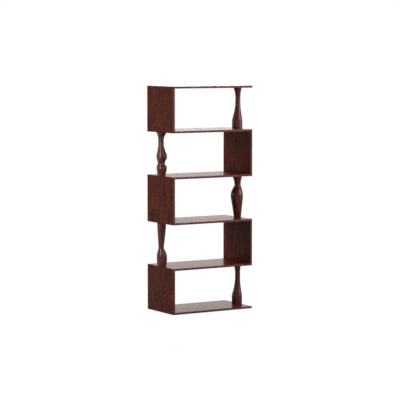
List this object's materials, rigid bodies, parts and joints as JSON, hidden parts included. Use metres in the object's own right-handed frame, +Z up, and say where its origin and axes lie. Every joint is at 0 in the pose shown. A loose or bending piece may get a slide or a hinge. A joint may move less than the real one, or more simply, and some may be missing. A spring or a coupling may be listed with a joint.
{
  "type": "spine bookshelf",
  "caption": "Tall open bookshelf whose boards fold from side to side, with a turned column at each open corner.",
  "frame": {"origin": "middle of the footprint, on the floor", "axes": "+Z up, +X to the right seen from the front, +Y to the back"},
  "size_m": [0.8856, 0.464, 2.032],
  "materials": {
    "board_wood": "satin stain, open grain",
    "turned_wood": "semi-gloss stain",
    "raw_wood": "bare beech"
  },
  "bodies": {
    "root": {"top_shelf": "board_wood", "shelf_2": "board_wood", "shelf_3": "board_wood", "shelf_4": "board_wood", "shelf_5": "board_wood", "bottom_shelf": "board_wood", "left_panel_1": "board_wood", "right_panel_2": "board_wood", "left_panel_3": "board_wood", "right_panel_4": "board_wood", "left_panel_5": "board_wood", "right_column_1": "turned_wood", "left_column_2": "turned_wood", "right_column_3": "turned_wood", "left_column_4": "turned_wood", "right_column_5": "turned_wood", "column_1_dowels": "raw_wood", "column_2_dowels": "raw_wood", "column_3_dowels": "raw_wood", "column_4_dowels": "raw_wood", "column_5_dowels": "raw_wood", "panel_1_upper_spline": "raw_wood", "panel_1_lower_spline": "raw_wood", "panel_2_upper_spline": "raw_wood", "panel_2_lower_spline": "raw_wood", "panel_3_upper_spline": "raw_wood", "panel_3_lower_spline": "raw_wood", "panel_4_upper_spline": "raw_wood", "panel_4_lower_spline": "raw_wood", "panel_5_upper_spline": "raw_wood", "panel_5_lower_spline": "raw_wood"}
  },
  "joints": []
}
